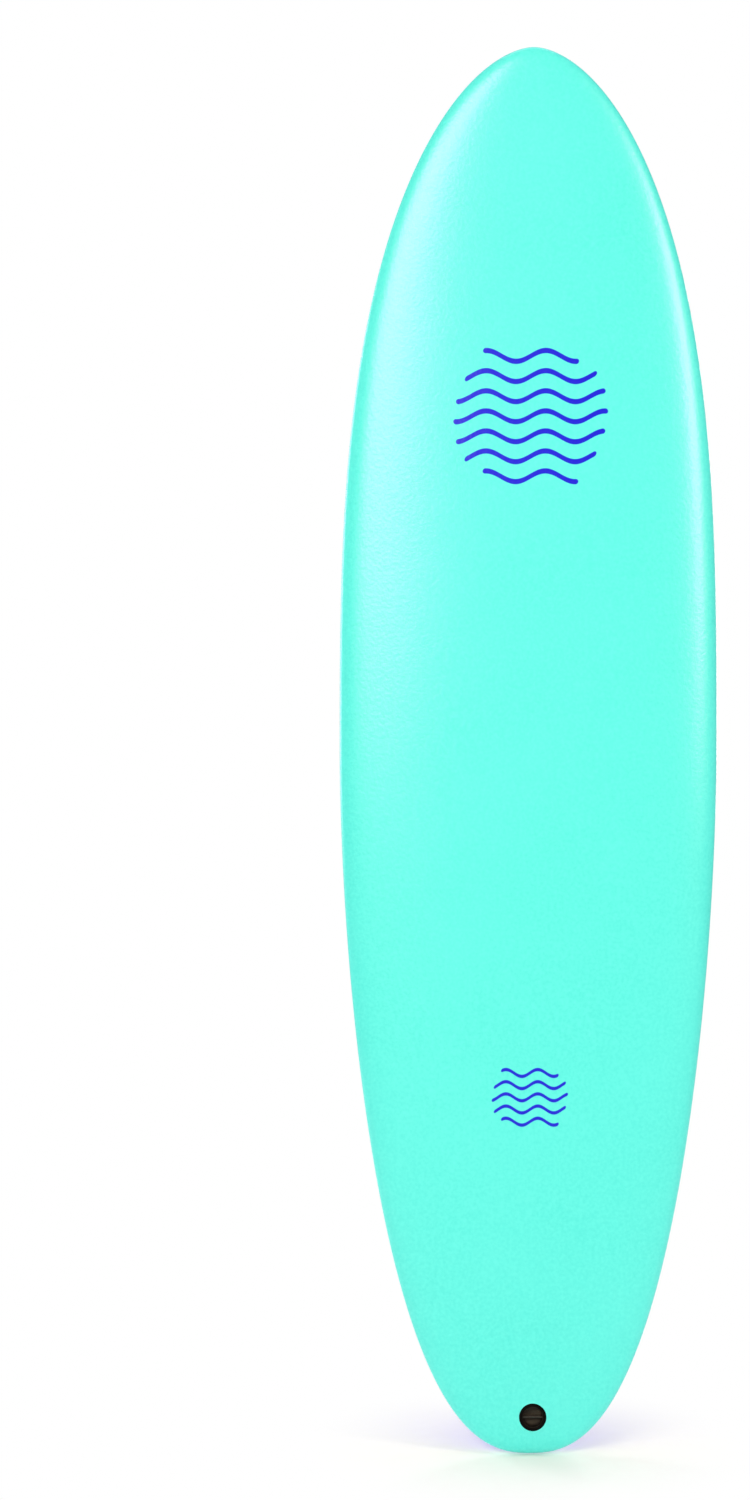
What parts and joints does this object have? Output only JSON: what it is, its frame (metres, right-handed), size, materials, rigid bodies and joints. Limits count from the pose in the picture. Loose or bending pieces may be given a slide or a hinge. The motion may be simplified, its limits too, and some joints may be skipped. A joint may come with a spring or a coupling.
{
  "type": "surfboard",
  "caption": "Soft-top surfboard with a foam deck and rails, a slick bottom, single-slot fin boxes with grub screws and a through-board leash plug.",
  "frame": {"origin": "middle of the cross-section at the widest point, where a rack holds the rails", "axes": "+Z to the nose, -Y out of the deck, +Y out of the slick bottom, +X to the right when looking at the deck with the nose up"},
  "size_m": [0.502, 0.1563, 1.829],
  "materials": {
    "deck_foam": "closed-cell foam skin, fine grain, satin",
    "slick": "extruded polyethylene sheet, smooth and glossy",
    "backing_foam": "cut closed-cell foam",
    "laminate": "glass cloth in clear epoxy",
    "core_foam": "moulded bead foam",
    "dense_foam": "dense foam block",
    "stringer_wood": "sawn plywood",
    "box_plastic": "moulded glass-filled nylon, satin",
    "plug_plastic": "moulded nylon, satin",
    "adhesive": "cured adhesive",
    "steel": "stainless steel, turned",
    "bar_steel": "stainless steel, black oxide"
  },
  "bodies": {
    "board": {"foam_core": "core_foam", "stringer_centre": "stringer_wood", "stringer_left": "stringer_wood", "stringer_right": "stringer_wood", "fin_block_left": "dense_foam", "fin_block_right": "dense_foam", "fin_block_centre": "dense_foam", "plug_block": "dense_foam", "deck_laminate": "laminate", "bottom_laminate": "laminate", "deck_skin": "deck_foam", "bottom_backing": "backing_foam", "bottom_slick": "slick", "fin_box_left": "box_plastic", "fin_box_right": "box_plastic", "fin_box_centre": "box_plastic", "bond_rings": "adhesive", "plug_cup": "plug_plastic", "plug_bar": "bar_steel", "plug_base": "plug_plastic"},
    "screw_left_nose": {"grub_screw_left_nose": "steel"},
    "screw_left_tail": {"grub_screw_left_tail": "steel"},
    "screw_right_nose": {"grub_screw_right_nose": "steel"},
    "screw_right_tail": {"grub_screw_right_tail": "steel"},
    "screw_centre_nose": {"grub_screw_centre_nose": "steel"},
    "screw_centre_tail": {"grub_screw_centre_tail": "steel"}
  },
  "joints": [
    {"name": "drive_left_nose", "type": "slide", "parent": "board", "child": "screw_left_nose", "axis": [0.2755, -0.9557, 0.104], "range_m": [0, 0.0032]},
    {"name": "drive_left_tail", "type": "slide", "parent": "board", "child": "screw_left_tail", "axis": [-0.2755, -0.9572, 0.0887], "range_m": [0, 0.0032]},
    {"name": "drive_right_nose", "type": "slide", "parent": "board", "child": "screw_right_nose", "axis": [0.2755, -0.9572, 0.0887], "range_m": [0, 0.0032]},
    {"name": "drive_right_tail", "type": "slide", "parent": "board", "child": "screw_right_tail", "axis": [-0.2755, -0.9557, 0.104], "range_m": [0, 0.0032]},
    {"name": "drive_centre_nose", "type": "slide", "parent": "board", "child": "screw_centre_nose", "axis": [0.2756, -0.9523, 0.1307], "range_m": [0, 0.0032]},
    {"name": "drive_centre_tail", "type": "slide", "parent": "board", "child": "screw_centre_tail", "axis": [-0.2756, -0.9523, 0.1307], "range_m": [0, 0.0032]}
  ]
}
